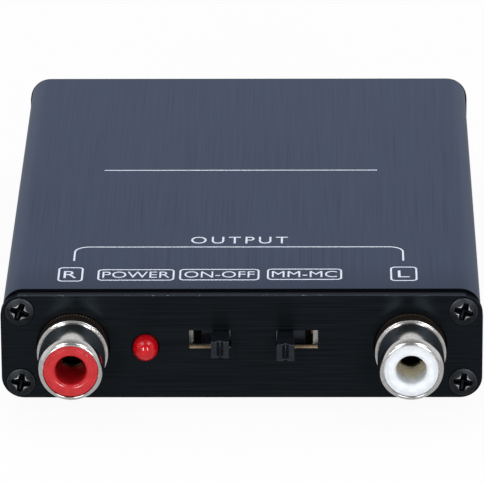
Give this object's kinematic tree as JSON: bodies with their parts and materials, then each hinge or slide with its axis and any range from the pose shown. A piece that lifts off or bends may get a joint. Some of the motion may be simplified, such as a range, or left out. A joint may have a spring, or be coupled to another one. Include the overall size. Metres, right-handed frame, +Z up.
{
  "type": "phono preamplifier",
  "caption": "Slim phono preamplifier in an extruded black sleeve: end panels with phono sockets, two slide switches, a power light and a ground terminal.",
  "frame": {"origin": "on the table plane under the middle of the case, midway between the tips of the front and rear sockets", "axes": "+X to the right seen from the front, +Y from the front panel to the rear panel, +Z up"},
  "size_m": [0.06, 0.0944, 0.0161],
  "materials": {
    "sleeve_black": "brushed, black anodised",
    "panel_black": "brushed, black anodised",
    "screw_black": "black oxide",
    "foot_rubber": "matt",
    "board_green": "glass laminate with solder resist",
    "socket_nickel": "nickel plated",
    "insert_red": "moulded",
    "insert_white": "moulded",
    "contact_tin": "tinned",
    "moulding_black": "moulded",
    "light_red": "tinted, diffusing",
    "frame_steel": "plated",
    "base_laminate": "paper laminate",
    "clip_brass": "spring brass",
    "terminal_brass": "plated brass",
    "chip_black": "moulded",
    "can_aluminium": "drawn can",
    "film_red": "moulded case"
  },
  "bodies": {
    "case": {"case_sleeve": "sleeve_black", "front_panel": "panel_black", "rear_panel": "panel_black", "front_screws": "screw_black", "rear_screws": "screw_black", "rubber_feet": "foot_rubber", "circuit_board": "board_green", "out_right_shell": "socket_nickel", "out_right_insert": "insert_red", "out_right_contact": "contact_tin", "out_right_body": "moulding_black", "out_left_shell": "socket_nickel", "out_left_insert": "insert_white", "out_left_contact": "contact_tin", "out_left_body": "moulding_black", "in_right_shell": "socket_nickel", "in_right_insert": "insert_red", "in_right_contact": "contact_tin", "in_right_body": "moulding_black", "in_left_shell": "socket_nickel", "in_left_insert": "insert_white", "in_left_contact": "contact_tin", "in_left_body": "moulding_black", "power_light_lens": "light_red", "power_light_leads": "contact_tin", "power_switch_frame": "frame_steel", "power_switch_base": "base_laminate", "power_switch_terminals": "contact_tin", "cartridge_switch_frame": "frame_steel", "cartridge_switch_base": "base_laminate", "cartridge_switch_terminals": "contact_tin", "supply_socket_body": "moulding_black", "supply_socket_pin": "contact_tin", "supply_socket_leaf": "contact_tin", "ground_post": "terminal_brass", "ground_lock_nut": "terminal_brass", "ground_tag": "contact_tin", "amplifier_chips": "chip_black", "regulator": "chip_black", "electrolytic_capacitors": "can_aluminium", "film_capacitors": "film_red", "resistors": "chip_black"},
    "power_lever": {"power_switch_lever": "moulding_black", "power_switch_clip": "clip_brass"},
    "cartridge_lever": {"cartridge_switch_lever": "moulding_black", "cartridge_switch_clip": "clip_brass"},
    "clamp_washer": {"ground_washer": "terminal_brass"},
    "thumb_nut": {"ground_thumb_nut": "terminal_brass"}
  },
  "joints": [
    {"name": "power_slide", "type": "slide", "parent": "case", "child": "power_lever", "axis": [1, 0, 0], "range_m": [-0.0024, 0]},
    {"name": "cartridge_slide", "type": "slide", "parent": "case", "child": "cartridge_lever", "axis": [1, 0, 0], "range_m": [0, 0.0024]},
    {"name": "washer_slide", "type": "slide", "parent": "case", "child": "clamp_washer", "axis": [0, 1, 0], "range_m": [0, 0.00151]},
    {"name": "thumb_nut_turn", "type": "hinge", "parent": "clamp_washer", "child": "thumb_nut", "pos_m": [0.0085, 0.0432, 0.01015], "axis": [0, 1, 0], "range_deg": [0, 1080]}
  ],
  "couplings": [
    {"joint": "washer_slide", "follows": "thumb_nut_turn", "m_per_rad": 0.000079577}
  ]
}
